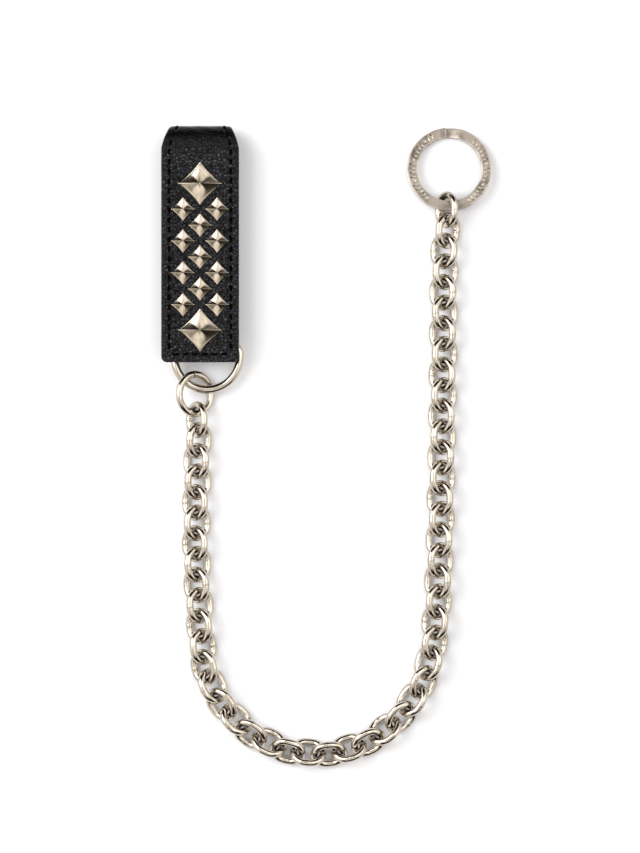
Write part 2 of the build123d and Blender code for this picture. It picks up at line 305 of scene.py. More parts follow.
def ramp(tree, source, stops):
    """A colour ramp through (position, hex colour) stops."""
    made = node(tree, "ShaderNodeValToRGB", {"Fac": source})
    while len(made.color_ramp.elements) < len(stops):
        made.color_ramp.elements.new(0.5)
    for element, (position, colour) in zip(made.color_ramp.elements, stops):
        element.position = position
        element.color = hex_linear(colour)
    return made


def black_leather(name, pebble, edge_colour):
    """Black waxed cowhide: a printed pebble of this size in millimetres with fine pores in it, a soft wax
    shine on the tops of the pebbles, painted shade that darkens the crevices between them, calmer leather
    where it is stretched round a bend with painted shade darkening its colour there, and a painted edge
    that is browner and smoother."""
    made, tree, body = material(name, Roughness=0.45, IOR=1.45, Specular_IOR_Level=0.18)
    place = node(tree, "ShaderNodeTexCoord").outputs["Object"]
    warp = node(tree, "ShaderNodeTexNoise", {"Vector": place}, Scale=900.0, Detail=2.0)
    bent = node(tree, "ShaderNodeMixRGB", {"Color1": place, "Color2": warp.outputs["Color"]}, Fac=0.0004)
    cell = node(tree, "ShaderNodeTexVoronoi", {"Vector": bent.outputs["Color"]}, Scale=1000 / pebble)
    cell.feature = "DISTANCE_TO_EDGE"
    top = ramp(tree, cell.outputs["Distance"], [(0.0, "000000"), (0.1, "a0a0a0"), (0.36, "ffffff")])
    top.color_ramp.interpolation = "EASE"
    pore = node(tree, "ShaderNodeTexNoise", {"Vector": place}, Scale=5200.0, Detail=3.0)
    edge = node(tree, "ShaderNodeAttribute", attribute_name="edge")
    stretch_and_shade = node(tree, "ShaderNodeAttribute", attribute_name="stretch_and_shade")
    links = {0: edge.outputs["Fac"], 1: stretch_and_shade.outputs["Fac"]}
    calm = node(tree, "ShaderNodeMath", links, operation="MAXIMUM")
    strength = node(tree, "ShaderNodeMapRange", {"Value": calm.outputs[0]})
    strength.inputs["To Min"].default_value = 1.0
    strength.inputs["To Max"].default_value = 0.08
    links = {0: top.outputs["Color"], 1: strength.outputs[0]}
    relief = node(tree, "ShaderNodeMath", links, operation="MULTIPLY")
    fine = node(tree, "ShaderNodeBump", {"Height": pore.outputs["Fac"]}, Strength=0.2, Distance=0.00005)
    links = {"Height": relief.outputs[0], "Normal": fine.outputs[0]}
    bump = node(tree, "ShaderNodeBump", links, Strength=1.0, Distance=0.0005)
    tree.links.new(bump.outputs[0], body.inputs["Normal"])
    patch = node(tree, "ShaderNodeTexNoise", {"Vector": place}, Scale=780.0, Detail=3.0, Roughness=0.65)
    tone = ramp(tree, patch.outputs["Fac"], [(0.34, "060606"), (0.45, "343437"), (0.62, "505056")])
    # painted shade: the crevices between the pebbles, and the calmed leather on the bend and edge, are mixed
    # towards near-black 010101, while the pebble tops keep the leather's tone
    crevice_shaded = node(tree, "ShaderNodeMixRGB", {"Fac": relief.outputs[0], "Color2": tone.outputs["Color"]})
    crevice_shaded.inputs["Color1"].default_value = hex_linear("010101")
    # painted shade: the bend is mixed towards near-black 040404, following the stretched-leather mask
    links = {"Fac": stretch_and_shade.outputs["Fac"], "Color1": crevice_shaded.outputs["Color"]}
    fold_shaded = node(tree, "ShaderNodeMixRGB", links)
    fold_shaded.inputs["Color2"].default_value = hex_linear("040404")
    links = {"Fac": edge.outputs["Fac"], "Color1": fold_shaded.outputs["Color"]}
    painted = node(tree, "ShaderNodeMixRGB", links)
    painted.inputs["Color2"].default_value = hex_linear(edge_colour)
    tree.links.new(painted.outputs["Color"], body.inputs["Base Color"])
    wax = node(tree, "ShaderNodeMapRange", {"Value": relief.outputs[0]})
    wax.inputs["To Min"].default_value = 0.62
    wax.inputs["To Max"].default_value = 0.24
    shiny = node(tree, "ShaderNodeMath", {0: calm.outputs[0]}, operation="MULTIPLY_ADD")
    shiny.inputs[1].default_value = -0.42
    tree.links.new(wax.outputs[0], shiny.inputs[2])
    tree.links.new(shiny.outputs[0], body.inputs["Roughness"])
    return made


def nickel(name, bright, dark, rough, scratch):
    """Nickel plate over polished steel wire: warm grey and mirror-like, with hairlines from handling and a
    brown darkening that is partly tarnish at joints and where the wires rub, and partly painted shade where
    neighbouring parts meet and shade each other."""
    made, tree, body = material(name, Metallic=1.0, Roughness=rough)
    place = node(tree, "ShaderNodeTexCoord").outputs["Object"]
    cloud = node(tree, "ShaderNodeTexNoise", {"Vector": place}, Scale=260.0, Detail=3.0)
    film_and_shade = node(tree, "ShaderNodeAttribute", attribute_name="film_and_shade")
    tone = ramp(tree, cloud.outputs["Fac"], [(0.3, bright), (0.7, dark)])
    # brown 2c221a mixed in by the attribute: tarnish at joints and rubbed places, and painted shade where
    # parts meet
    rub_and_shade_tint = node(tree, "ShaderNodeMixRGB", {"Fac": film_and_shade.outputs["Fac"], "Color1": tone.outputs["Color"]})
    rub_and_shade_tint.inputs["Color2"].default_value = hex_linear("2c221a")
    tree.links.new(rub_and_shade_tint.outputs["Color"], body.inputs["Base Color"])
    hair = node(tree, "ShaderNodeTexNoise", {"Vector": place}, Scale=2600.0, Detail=4.0)
    dull = node(tree, "ShaderNodeMapRange", {"Value": hair.outputs["Fac"]})
    dull.inputs["From Min"].default_value = 0.3
    dull.inputs["From Max"].default_value = 0.75
    dull.inputs["To Min"].default_value = rough
    dull.inputs["To Max"].default_value = rough + scratch
    tree.links.new(dull.outputs[0], body.inputs["Roughness"])
    bump = node(tree, "ShaderNodeBump", {"Height": cloud.outputs["Fac"]}, Strength=0.12, Distance=0.0002)
    tree.links.new(bump.outputs[0], body.inputs["Normal"])
    return made


def brushed_steel(name):
    """Flat steel wire, brushed along its length: warm grey, with streaks 0.1 mm apart that run round the
    ring, and a painted highlight that makes the punched marks and the free end's rounded lip brighter."""
    made, tree, body = material(name, Metallic=1.0, Roughness=0.34)
    uv = node(tree, "ShaderNodeUVMap", uv_map="surface")
    long = node(tree, "ShaderNodeMapping", {"Vector": uv.outputs[0]}, Scale=(0.35, 9.0, 1.0))
    streak = node(tree, "ShaderNodeTexNoise", {"Vector": long.outputs[0]}, Scale=1.0, Detail=3.0)
    place = node(tree, "ShaderNodeTexCoord").outputs["Object"]
    cloud = node(tree, "ShaderNodeTexNoise", {"Vector": place}, Scale=190.0, Detail=4.0)
    both = node(tree, "ShaderNodeMath", {0: streak.outputs["Fac"], 1: cloud.outputs["Fac"]}, operation="ADD")
    tone = ramp(tree, both.outputs[0], [(0.8, "8a7f74"), (0.95, "aea398"), (1.0, "c9bfb4")])
    mark_and_glint = node(tree, "ShaderNodeAttribute", attribute_name="mark_and_glint")
    # painted highlight: near-white fbf4e8 mixed in on the punched marks and on the free end's lip
    lit = node(tree, "ShaderNodeMixRGB", {"Fac": mark_and_glint.outputs["Fac"], "Color1": tone.outputs["Color"]})
    lit.inputs["Color2"].default_value = hex_linear("fbf4e8")
    tree.links.new(lit.outputs["Color"], body.inputs["Base Color"])
    bump = node(tree, "ShaderNodeBump", {"Height": streak.outputs["Fac"]}, Strength=0.2, Distance=0.00005)
    tree.links.new(bump.outputs[0], body.inputs["Normal"])
    dull = node(tree, "ShaderNodeMapRange", {"Value": streak.outputs["Fac"]})
    dull.inputs["To Min"].default_value = 0.26
    dull.inputs["To Max"].default_value = 0.42
    tree.links.new(dull.outputs[0], body.inputs["Roughness"])
    return made


def waxed_thread(name):
    """Black waxed polyester thread with a fuzz that leaves it almost without shine."""
    made, tree, body = material(name, Roughness=0.9, Specular_IOR_Level=0.04)
    place = node(tree, "ShaderNodeTexCoord").outputs["Object"]
    fuzz = node(tree, "ShaderNodeTexNoise", {"Vector": place}, Scale=6000.0, Detail=2.0)
    tone = ramp(tree, fuzz.outputs["Fac"], [(0.3, "010101"), (0.7, "040404")])
    tree.links.new(tone.outputs["Color"], body.inputs["Base Color"])
    bump = node(tree, "ShaderNodeBump", {"Height": fuzz.outputs["Fac"]}, Strength=0.4, Distance=0.00005)
    tree.links.new(bump.outputs[0], body.inputs["Normal"])
    return made


LEATHER = black_leather("pebbled_cowhide", 1.3, "140d0a")
KEEPER_LEATHER = black_leather("keeper_cowhide", 0.9, "140d0a")
CHAIN_NICKEL = nickel("polished_nickel_chain", "d2cabe", "b9afa1", 0.06, 0.10)
STUD_NICKEL = nickel("pressed_nickel_studs", "d6cbba", "bfb3a0", 0.13, 0.08)
SNAP_NICKEL = nickel("plated_snap", "c9c0b0", "b0a695", 0.2, 0.1)
RING_STEEL = brushed_steel("brushed_flat_steel")
THREAD_BLACK = waxed_thread("waxed_black_thread")


# ---------------------------------------------------------------- the folded strap


def stud_places():
    """(x, y, half size, height) of every stud."""
    large = [(0.0, y, *LARGE_STUD) for y in LARGE_STUD_Y]
    pairs = [(side * STUD_COLUMN, PAIR_ROW_Y - row * STUD_ROW) for row in range(4) for side in (-1, 1)]
    singles = [(0.0, SINGLE_ROW_Y - row * STUD_ROW) for row in range(3)]
    return large + [(x, y, *SMALL_STUD) for x, y in pairs + singles]


def strap_line():
    """Stations along the strap, closer at the flap's end and wider apart on the back. The kind is 1 on the
    flat front, 0 on the fold's half ellipse and -1 on the flat back. The value is the y on a flat, or the
    fold's angle in degrees."""
    ease = np.linspace(0, 1, 13) ** 2 * FLAP_CORNER
    flat = np.arange(FLAP_END + FLAP_CORNER + STRAP_STEP, FOLD_START, STRAP_STEP)
    y_front = np.concatenate([FLAP_END + ease, flat])
    angles = np.linspace(90, -90, int(FOLD_LENGTH / STRAP_STEP))
    y_back = np.arange(FOLD_START - 2 * STRAP_STEP, BAR_Y - 0.5, -2 * STRAP_STEP)
    kind = np.concatenate([np.full(len(y_front), 1), np.zeros(len(angles)), np.full(len(y_back), -1)])
    value = np.concatenate([y_front, angles, y_back])
    return kind, value


def strap_point(kind, value, depth):
    """(y, z) of a station at a depth under the outside. On the fold the ellipse is shrunk by the depth."""
    angle = np.radians(np.where(kind == 0, value, 0))
    y_fold = FOLD_START + (FOLD_REACH - depth) * np.cos(angle)
    z_fold = FOLD_MID + (FOLD_MID - depth) * np.sin(angle)
    y = np.where(kind == 0, y_fold, value)
    z = np.where(kind == 0, z_fold, np.where(kind > 0, LOOP_HEIGHT - depth, depth))
    return y, z


def strap_half(kind, value):
    """Half the strap's width at a station: square on the front, narrowing round the fold, narrow behind."""
    y = strap_point(kind, value, 0.0)[0]
    q = np.clip((y - FOLD_START) / FOLD_REACH, 0, 1)
    upper = FLAP_HALF - (FLAP_HALF - STRAP_HALF) * q**1.5
    back = KEEPER_HALF + (STRAP_HALF - KEEPER_HALF) * smooth(*TAPER, y)
    half = np.where((kind > 0) | ((kind == 0) & (value > 0)), upper, back)
    e = np.clip(y - FLAP_END, 0, FLAP_CORNER)
    corner = FLAP_CORNER - np.sqrt(FLAP_CORNER**2 - (FLAP_CORNER - e) ** 2)
    return half - np.where(kind > 0, corner, 0)


def ring_of_strap(across, beneath):
    """The strap's section as a closed line, with this many points on the outside and on the inside. Each is
    (share of the half width, distance from the edge, depth), and a groove runs where two layers meet."""
    r, thick = EDGE_ROUND, STRAP_THICK
    t = np.radians(np.linspace(90, 0, 7))
    top = [(s, 0.0, 0.0) for s in np.linspace(-1, 1, across)[1:-1]]
    corner = [(1, -r + r * np.cos(a), r - r * np.sin(a)) for a in t]
    side = [(1, -0.14 * hump(d - OUTER_LEATHER, 0.16), d) for d in np.linspace(r, thick - r, 9)[1:-1]]
    low = [(1, -r + r * np.cos(a), thick - r + r * np.sin(a)) for a in t[::-1]]
    under = [(s, 0.0, thick) for s in np.linspace(1, -1, beneath)[1:-1]]
    right = corner + side + low
    left = [(-1, e, d) for _, e, d in right[::-1]]
    return np.array(top + right + under + left)


def front_relief(x, y, half):
    """How far the front leather stands above flat: sunk along the stitches and at their holes, rolled down
    at the edge, pressed down by the studs, and gathered in shallow creases beside them."""
    inset = half - np.abs(x)
    below = y - FLAP_END
    line = np.minimum(inset, below)
    sunk = -0.26 * hump(line - STITCH_INSET, 0.5) - 0.35 * smooth(1.6, 0.0, line)
    bulge = 0.14 * hump(line - 1.5, 0.7)
    pressed = np.zeros_like(x)
    for sx, sy, size, _ in stud_places():
        reach = (np.abs(x - sx) ** STUD_CURVE + np.abs(y - sy) ** STUD_CURVE) ** (1 / STUD_CURVE)
        pressed -= 0.34 * hump(np.maximum(reach - size, 0), 1.3)
    wave = np.sin(2.3 * y + 1.4 * np.sin(0.9 * x) + 0.9 * np.sin(0.61 * y + 1.1 * x))
    wave = wave + 0.6 * np.sin(4.1 * y - 1.7 * np.sin(1.3 * x + 0.4 * y))
    gather = smooth(3.0, 7.5, np.abs(x)) * smooth(2.6, 4.4, inset) * smooth(-44, -38, y) * smooth(33, 22, y)
    soft = 0.07 * np.sin(0.9 * y + 0.7 * x) + 0.05 * np.sin(1.7 * x - 0.8 * y)
    return sunk + bulge + pressed + 0.32 * wave * gather + soft * smooth(0.5, 3.0, line)


def loop_strap():
    """The belt loop's strap in one piece: its section carried along the front, round the fold and down the
    back, with each end rounded, and the front's relief laid on the outside."""
    kind, value = strap_line()
    section = ring_of_strap(104, 40)
    kind, value = kind[:, None], value[:, None]
    half = strap_half(kind, value)
    share, edge, depth = section.T[:, None, :]
    x = share * (half - EDGE_ROUND) + np.sign(share) * (EDGE_ROUND + edge) * (np.abs(share) == 1)
    y_flat, _ = strap_point(kind, value, 0.0)
    e = np.clip(y_flat - FLAP_END, 0, EDGE_ROUND)
    nip = np.where(kind > 0, EDGE_ROUND - np.sqrt(EDGE_ROUND**2 - (EDGE_ROUND - e) ** 2), 0)
    depth = nip + (STRAP_THICK - 2 * nip) * depth / STRAP_THICK
    outside = smooth(1.0, 0.0, depth)
    on_front = smooth(36.0, 30.0, y_flat) * (kind > 0)
    station = np.where(kind == 0, FOLD_START + (90 - value) * 0.13, y_flat)
    line = half - np.abs(x)
    seam = -0.22 * hump(line - STITCH_INSET, 0.5) - 0.2 * smooth(1.9, 0.0, line)
    relief = on_front * front_relief(x, y_flat + 0 * x, half) + (1 - on_front) * seam
    middle = np.cos(np.radians(np.where(kind == 0, value, 90)))
    sag = 0.12 * np.sin(1.1 * station + 0.8 * x) * (kind == 0) * middle
    y, z = strap_point(kind, value, depth - outside * (relief + 0.3 * sag))
    grid = np.stack([x, y + 0 * x, z + 0 * x], 2)
    side = smooth(0.5, 1.3, depth) * smooth(3.0, 2.2, depth) * smooth(0.5, 0.1, line)
    # this mask calms the grain and smooths the leather on the bend, and also darkens its colour there as
    # painted shade
    fold = np.where(kind == 0, np.cos(np.radians(value)) ** 0.3, 0) + 0 * x
    rim = 0.35 * smooth(1.4, 0.2, line) * outside
    attributes = {"edge": [np.maximum(side, rim)], "stretch_and_shade": [fold]}
    return piece("folded_strap", [grid], LEATHER, attributes=attributes)


def keeper():
    """The strap's narrow end: one thickness under the bar, round it, down a slope and along the strap. Its
    outside and its inside are each given as a line, and the section is stretched between them, just short
    of both so that it doesn't share a surface with the strap."""
    centre = np.array([BAR_Y, BAR_Z])
    slope = 90 - TAB_SLOPE
    fall = np.tan(np.radians(TAB_SLOPE))
    lines = []
    for outer in (True, False):
        reach = WRAP_RADIUS + KEEPER_THICK if outer else WRAP_RADIUS
        floor = STRAP_THICK + KEEPER_THICK if outer else STRAP_THICK
        low = 0.0 if outer else STRAP_THICK
        middle = centre + [0, -0.6] if outer else centre
        about = 4.4 if outer else WRAP_RADIUS
        off = centre + reach * np.array([np.cos(np.radians(slope)), np.sin(np.radians(slope))])
        foot = [off[0] + (off[1] - floor) / fall, floor]
        lines.append(
            np.concatenate(
                [
                    run((-36.6, low), (BAR_Y, low), 8),
                    arc(middle, about, -90, -270, 40),
                    arc(centre, reach, 90, slope, 10),
                    run(off, foot, 10),
                    run(foot, (TAB_END, floor), 14),
                    [(TAB_END, floor)],
                ]
            )
        )
    outer, inner = lines
    for _ in range(3):
        outer[1:-1] = (outer[:-2] + 2 * outer[1:-1] + outer[2:]) / 4
    section = ring_of_strap(44, 24)
    share, edge, depth = section.T[:, None, :]
    along = np.linspace(0, 1, len(outer))[:, None]
    end = (1 - along) * len(outer) * 0.7
    half = KEEPER_HALF - 0.03 - 1.6 * (1 - smooth(0, 3, end))
    x = share * (half - EDGE_ROUND) + np.sign(share) * (EDGE_ROUND + edge) * (np.abs(share) == 1)
    line = half - np.abs(x)
    relief = (-0.2 * hump(line - 2.2, 0.4) - 0.15 * smooth(1.3, 0, line)) * smooth(1, 0, depth)
    mix = (depth - relief * smooth(0, 0.2, along)) / STRAP_THICK
    mix = 0.012 + 0.976 * mix
    grid = outer[:, None, :] * (1 - mix[:, :, None]) + inner[:, None, :] * mix[:, :, None]
    grid = np.concatenate([x[:, :, None], grid], 2)
    side = smooth(0.5, 1.3, depth) * smooth(3.0, 2.2, depth) * smooth(0.5, 0.1, line)
    # this mask calms the grain round the bar, and also darkens the leather's colour there as painted shade
    wrap = hump(along - 0.38, 0.25) + 0 * x
    return piece("keeper_tab", [grid], KEEPER_LEATHER, attributes={"edge": [side], "stretch_and_shade": [0.7 * wrap]})


def stitch(place, along, x_way, up):
    """One stitch of two-ply thread: a bowed round thread along a line, its ends sunk in the leather."""
    t = np.linspace(0, 1, 15)[:, None]
    a = np.linspace(0, 2 * np.pi, 10, endpoint=False)[None, :]
    ends = np.sqrt(np.clip(1 - (2 * t - 1) ** 6, 0.05, 1))
    radius = THREAD_RADIUS * (1 + 0.16 * np.cos(2 * a - 9 * t)) * ends
    height = 0.34 * np.sqrt(np.sin(np.pi * t)) - 0.42
    length = (t - 0.5) * STITCH_LENGTH
    across, high = radius * np.cos(a), radius * np.sin(a) + height
    terms = [length + 0 * a, across, high]
    return place + sum(term[:, :, None] * axis for term, axis in zip(terms, (along, x_way, up)))


def side_stitches(first, last, sunk):
    """Stitches along both edges of the strap, between two distances from the flap's lower end measured
    along the outside, and this far sunk in it."""
    kind, value = strap_line()
    y, z = strap_point(kind, value, 0.0)
    half = strap_half(kind, value)
    along = distances(np.stack([y, z], 1))
    made = []
    for distance in np.arange(first, last, STITCH_PITCH):
        at, ahead, behind = [
            np.array([np.interp(distance + step, along, line) for line in (half, y, z)])
            for step in (0, 0.8, -0.8)
        ]
        for side in (-1, 1):
            way = (ahead - behind) * (side, 1, 1)
            way = way / np.linalg.norm(way)
            up = np.array([0, -way[2], way[1]])
            up = up / np.linalg.norm(up)
            place = (at - (STITCH_INSET, 0, 0)) * (side, 1, 1) - sunk * up
            made.append(stitch(place, way, np.cross(way, up), up))
    return made


def end_stitches():
    """Stitches across the flap's lower end, inside its two corners."""
    span = FLAP_HALF - STITCH_INSET
    count = int(2 * span / STITCH_PITCH)
    made = []
    for i in range(count):
        x = (i - (count - 1) / 2) * STITCH_PITCH
        place = np.array([x, FLAP_END + STITCH_INSET, LOOP_HEIGHT])
        made.append(stitch(place, np.array([1.0, 0, 0]), np.array([0, 1.0, 0]), np.array([0, 0, 1.0])))
    return made


def tab_stitches():
    """Stitches that hold the keeper's tab down on the back strap: two rows across the tab, and one row
    across the strap's underside."""
    top = STRAP_THICK + KEEPER_THICK + 0.12
    rows = [(y, top, 4, 1.0) for y in TAB_STITCH_ROWS] + [(TAB_UNDER_ROW, BACK_SUNK, 5, -1.0)]
    along, across = np.array([0.9, 0, 0]), np.array([0, 1.0, 0])
    made = []
    for y, z, count, way_up in rows:
        for i in range(count):
            place = np.array([(i - (count - 1) / 2) * TAB_STITCH_PITCH, y, z])
            made.append(stitch(place, along, across, np.array([0, 0, way_up])))
    return made


def stud(x, y, size, height):
    """A pressed pyramid: its foot is the curve |u|^p + |v|^p = size^p with p under 1, so its four sides are
    hollow, and its height falls from the apex to a low rim, then straight down into the leather."""
    p = STUD_CURVE
    t = np.linspace(0, 4, 72, endpoint=False)
    angle = np.pi / 2 * (t - 0.13 * np.sin(2 * np.pi * t))
    foot = size * (np.abs(np.cos(angle)) ** p + np.abs(np.sin(angle)) ** p) ** (-1 / p)
    share = np.concatenate([[0.004, 0.02], np.linspace(0.05, 0.92, 14), [0.95, 0.975, 0.99, 1.0, 1.0, 0.97]])
    fall = np.sqrt(share**2 + 0.012**2) - 0.012
    z = STUD_RIM + (height - STUD_RIM) * (0.8 * (1 - fall) + 0.2 * (1 - fall) ** 3)
    z[16:] = [STUD_RIM * 1.02, STUD_RIM * 1.02, STUD_RIM * 0.9, STUD_RIM * 0.62, -0.25, -0.3]
    r = share[:, None] * foot[None, :]
    ridge = 0.05 * height * (1 - share[:, None]) * share[:, None] * np.cos(4 * angle)[None, :]
    grid = np.stack([r * np.cos(angle), r * np.sin(angle), z[:, None] + 2 * ridge], 2)
    return grid + np.array([x, y, LOOP_HEIGHT - STUD_SUNK])


def studs():
    """All the studs as one piece. Each foot's two lowest rows, where it goes into the leather, are darkened
    brown.
    """
    grids = [stud(*place) for place in stud_places()]
    low = np.concatenate([np.zeros(20), [0.9, 0.9]])
    film_and_shade = [np.broadcast_to(low[:, None], grid.shape[:2]) for grid in grids]
    return piece("pyramid_stud_set", grids, STUD_NICKEL, attributes={"film_and_shade": film_and_shade})


def snap_halves():
    """The snap's two halves as turned profiles of (radius, height): below, the flange under the strap, the
    rivet through it and the base with its headed stud; above, the flange in the flap's lining, the rivet
    and the cup that the head presses into."""
    below = [(0.05, 0.0), (2.2, 0.0), (2.5, 0.14), (3.1, 0.14), (3.4, 0.0), (4.7, 0.04), (5.15, 0.35)]
    below += [(5.2, 0.8), (1.6, 0.85), (1.6, 2.95)]
    base = [(4.4, 3.0), (5.1, 3.12), (5.2, 3.5), (4.9, 3.95), (4.0, 4.18), (2.4, 4.25), (2.1, 4.5)]
    head = [(2.05, 5.4), (2.3, 5.65), (2.6, 6.0), (2.6, 6.6), (2.35, 7.0), (1.6, 7.2), (0.05, 7.22)]
    above = [(0.05, 10.8), (5.1, 10.75), (5.2, 10.1), (1.6, 10.0), (1.6, 9.65)]
    outer_cup = [(5.6, 9.6), (5.88, 9.3), (5.9, 6.4), (5.8, 5.5), (5.2, 4.75), (4.6, 4.5)]
    inner_cup = [(3.5, 4.5), (3.05, 4.7), (2.95, 5.1), (2.95, 7.4), (2.7, 7.8), (0.05, 7.8)]
    for name, profile, node_name, body in (
        ("snap_stud", below + base + head, "snap_post", "belt_loop_back"),
        ("snap_cup", above + outer_cup + inner_cup, "snap_socket", "belt_flap"),
    ):
        grid = lathe(profile, 64) + np.array([0, SNAP_Y, 0])
        half = piece(name, [grid], SNAP_NICKEL, attributes={"film_and_shade": [np.zeros(grid.shape[:2])]})
        bevel = half.modifiers.new("soft_edges", "BEVEL")
        bevel.width = 0.06 * MM
        bevel.segments = 2
        bevel.limit_method = "ANGLE"
        half.data.polygons.foreach_set("use_smooth", np.ones(len(half.data.polygons), bool))
        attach(half, body)
        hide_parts(node_name)


# ---------------------------------------------------------------- rings and links


def d_ring():
    """Round wire along the bow, two short sides, two round corners and the bar. A brazed joint in the bar
    stands 0.1 mm proud."""
    x, y = D_CENTRE
    left, right = x - D_RADIUS, x + D_RADIUS
    corner = BAR_Y - D_CORNER
    path = np.concatenate(
        [
            arc((x, y), D_RADIUS, -180, 0, 110),
            run((right, y), (right, corner), 3),
            arc((right - D_CORNER, corner), D_CORNER, 0, 90, 12),
            run((right - D_CORNER, BAR_Y), (left + D_CORNER, BAR_Y), 40),
            arc((left + D_CORNER, corner), D_CORNER, 90, 180, 12),
            run((left, corner), (left, y), 3),
        ]
    )
    on_bar = path[:, 1] > BAR_Y - 0.1
    bead = 0.1 * hump(path[:, 0] - BAR_SEAM_X, 0.7) * on_bar
    grid = round_wire(path, D_WIRE / 2 + bead, True, 30) + np.array([0, 0, BAR_Z])
    film_and_shade = 0.5 * hump(path[:, 0] - BAR_SEAM_X, 0.9) * on_bar
    film_and_shade = np.broadcast_to(film_and_shade[:, None], grid.shape[:2])
    return piece("bent_d_ring", [grid], CHAIN_NICKEL, wrap_rows=True, attributes={"film_and_shade": [film_and_shade]})


def jump_ring():
    """Round wire bent to a ring, its two cut ends closed to a narrow seam with broken edges."""
    gap = JUMP_SEAM / 2
    fine = np.concatenate([[0, 0.15, 0.45], np.linspace(1, 358, 150), [359 - 0.45, 359 - 0.15, 359]])
    angle = np.radians(JUMP_SEAM_AT + gap + fine * (360 - JUMP_SEAM) / 359)
    path = JUMP_RADIUS * np.stack([np.cos(angle), np.sin(angle)], 1)
    radius = np.full(len(path), JUMP_WIRE / 2)
    radius[[0, -1]] = JUMP_WIRE / 2 - 0.12
    radius[[1, -2]] = JUMP_WIRE / 2 - 0.03
    height = JUMP_RADIUS * np.sin(np.radians(JUMP_LEAN)) + JUMP_WIRE / 2
    grid = round_wire(path, radius, False, 28) @ turn("y", JUMP_LEAN).T + np.array([*JUMP_CENTRE, height])
    film_and_shade = np.zeros(grid.shape[:2])
    film_and_shade[[0, -1]] = 0.8
    return piece("closed_jump_ring", [grid], CHAIN_NICKEL, attributes={"film_and_shade": [film_and_shade]})


def link_shape(seed):
    """A flat oval link: two half circles and two short straights of round wire. A butt weld stands proud
    on one straight. Brown is mixed in on the weld as tarnish, and inside each end, where links rub and the
    next link shades it, as tarnish and painted shade."""
    a, b = LINK_HALF_STRAIGHT, LINK_HALF_WIDTH
    path = np.concatenate(
        [
            run((-a, -b), (a, -b), 8),
            arc((a, 0), b, -90, 90, 36),
            run((a, b), (-a, b), 5),
            arc((-a, 0), b, 90, 270, 36),
        ]
    )
    rng = np.random.default_rng(seed)
    weld = (path[:, 1] < -b + 0.01) * hump(path[:, 0] - rng.uniform(-0.2, 0.2), 0.45)
    radius = LINK_WIRE / 2 + 0.07 * weld
    grid = round_wire(path, radius, True, LINK_SIDES)
    angle = np.linspace(0, 2 * np.pi, LINK_SIDES, endpoint=False)[None, :]
    end = smooth(0.4, 0.9, (np.abs(path[:, 0]) - a) / b)[:, None]
    inside = np.clip(-np.cos(angle), 0, 1)
    # inside each end: painted shade where the next link passes, with tarnish from rubbing; on the weld:
    # tarnish
    film_and_shade = 1.1 * end * inside**0.8 + 0.35 * weld[:, None] * (0.6 + 0 * angle)
    return grid, np.clip(film_and_shade, 0, 1)


def chain():
    """Every link, between its joint and the next one, leaning left and right in turn."""
    at = {joint["name"]: np.array(joint["pos_m"]) / MM for joint in frame["joints"]}
    stops = [at[f"link_{k:02d}_swing"] for k in range(1, LINK_COUNT + 1)]
    swing_step = np.linalg.norm((stops[1] - stops[0])[:2])
    for number in range(1, LINK_COUNT + 1):
        low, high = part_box(f"link_{number:02d}")
        middle = (np.array(low) + np.array(high)) / 2 / MM
        start = stops[number - 1][:2]
        if number < LINK_COUNT:
            end = stops[number][:2]
        else:
            end = start + swing_step * (middle[:2] - start) / np.linalg.norm(middle[:2] - start)
        side = 1 if number % 2 else -1
        lean = LINK_LEANS.get(min(number - 1, LINK_COUNT - number), LINK_LEAN)
        heading = np.degrees(np.arctan2(*(end - start)[::-1]))
        height = LINK_HALF_WIDTH * np.sin(np.radians(lean)) + LINK_WIRE / 2
        grid, film_and_shade = link_shape(number)
        flip = turn("z", 180 * (number % 3 == 0))
        grid = grid @ flip.T @ turn("x", side * lean).T + np.array([0, -side * LINK_OFFSET, height])
        grid = grid @ turn("z", heading).T + np.array([*(start + end) / 2, 0])
        name = f"oval_link_{number:02d}"
        oval = piece(name, [grid], CHAIN_NICKEL, wrap_rows=True, attributes={"film_and_shade": [film_and_shade]})
        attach(oval, f"link_{number:02d}")
        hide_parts(f"link_{number:02d}")


def punched_marks(along, across):
    """Plain punched ticks across the band, a dot after every fourth tick: 1 in a mark, 0 outside."""
    number = np.floor(along / MARK_STEP)
    centre = along - (number + 0.5) * MARK_STEP
    tick = smooth(0.34, 0.18, np.abs(centre)) * smooth(1.2, 1.0, np.abs(across))
    dot = smooth(0.62, 0.42, np.hypot(centre, across))
    return np.where(number % 5 == 4, dot, tick)


